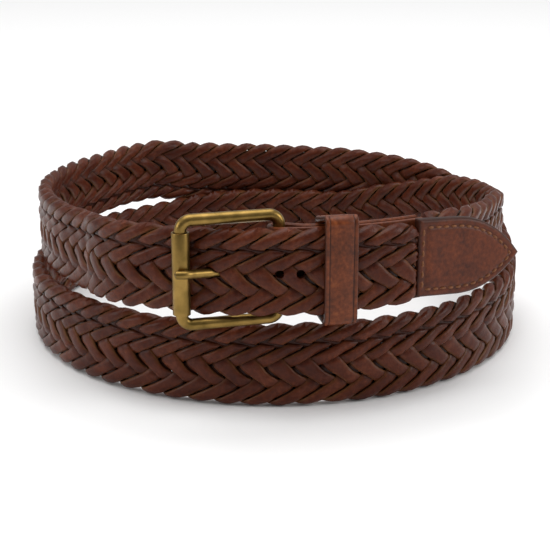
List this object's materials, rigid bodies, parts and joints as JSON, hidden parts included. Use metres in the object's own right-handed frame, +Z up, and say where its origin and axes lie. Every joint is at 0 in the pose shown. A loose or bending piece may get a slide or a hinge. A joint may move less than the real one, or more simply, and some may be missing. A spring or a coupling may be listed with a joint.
{
  "type": "braided leather belt",
  "caption": "Belt of flat braided leather, fastened with a roller buckle and coiled in turns that stand on edge.",
  "frame": {"origin": "centre of the bounding box on the surface that the coil stands on", "axes": "+Z up, the height of the coil; -Y towards the buckle; +X to the right seen from the buckle side, towards the pointed end"},
  "size_m": [0.194, 0.215, 0.0707],
  "materials": {
    "braided_leather": "semi-gloss brown leather strips, waxed on the grain side, with raw cut edges",
    "plain_leather": "smooth tan-brown vegetable-tanned leather with darker burnished edges",
    "tip_leather": "smooth brown vegetable-tanned leather, burnished, with a stitched border",
    "aged_brass": "satin antique brass"
  },
  "bodies": {
    "root": {"braided_strap": "braided_leather", "chape": "plain_leather", "buckle_frame": "aged_brass", "buckle_roller": "aged_brass", "buckle_prong": "aged_brass", "keeper_loop": "plain_leather", "strap_tip": "tip_leather"}
  },
  "joints": []
}
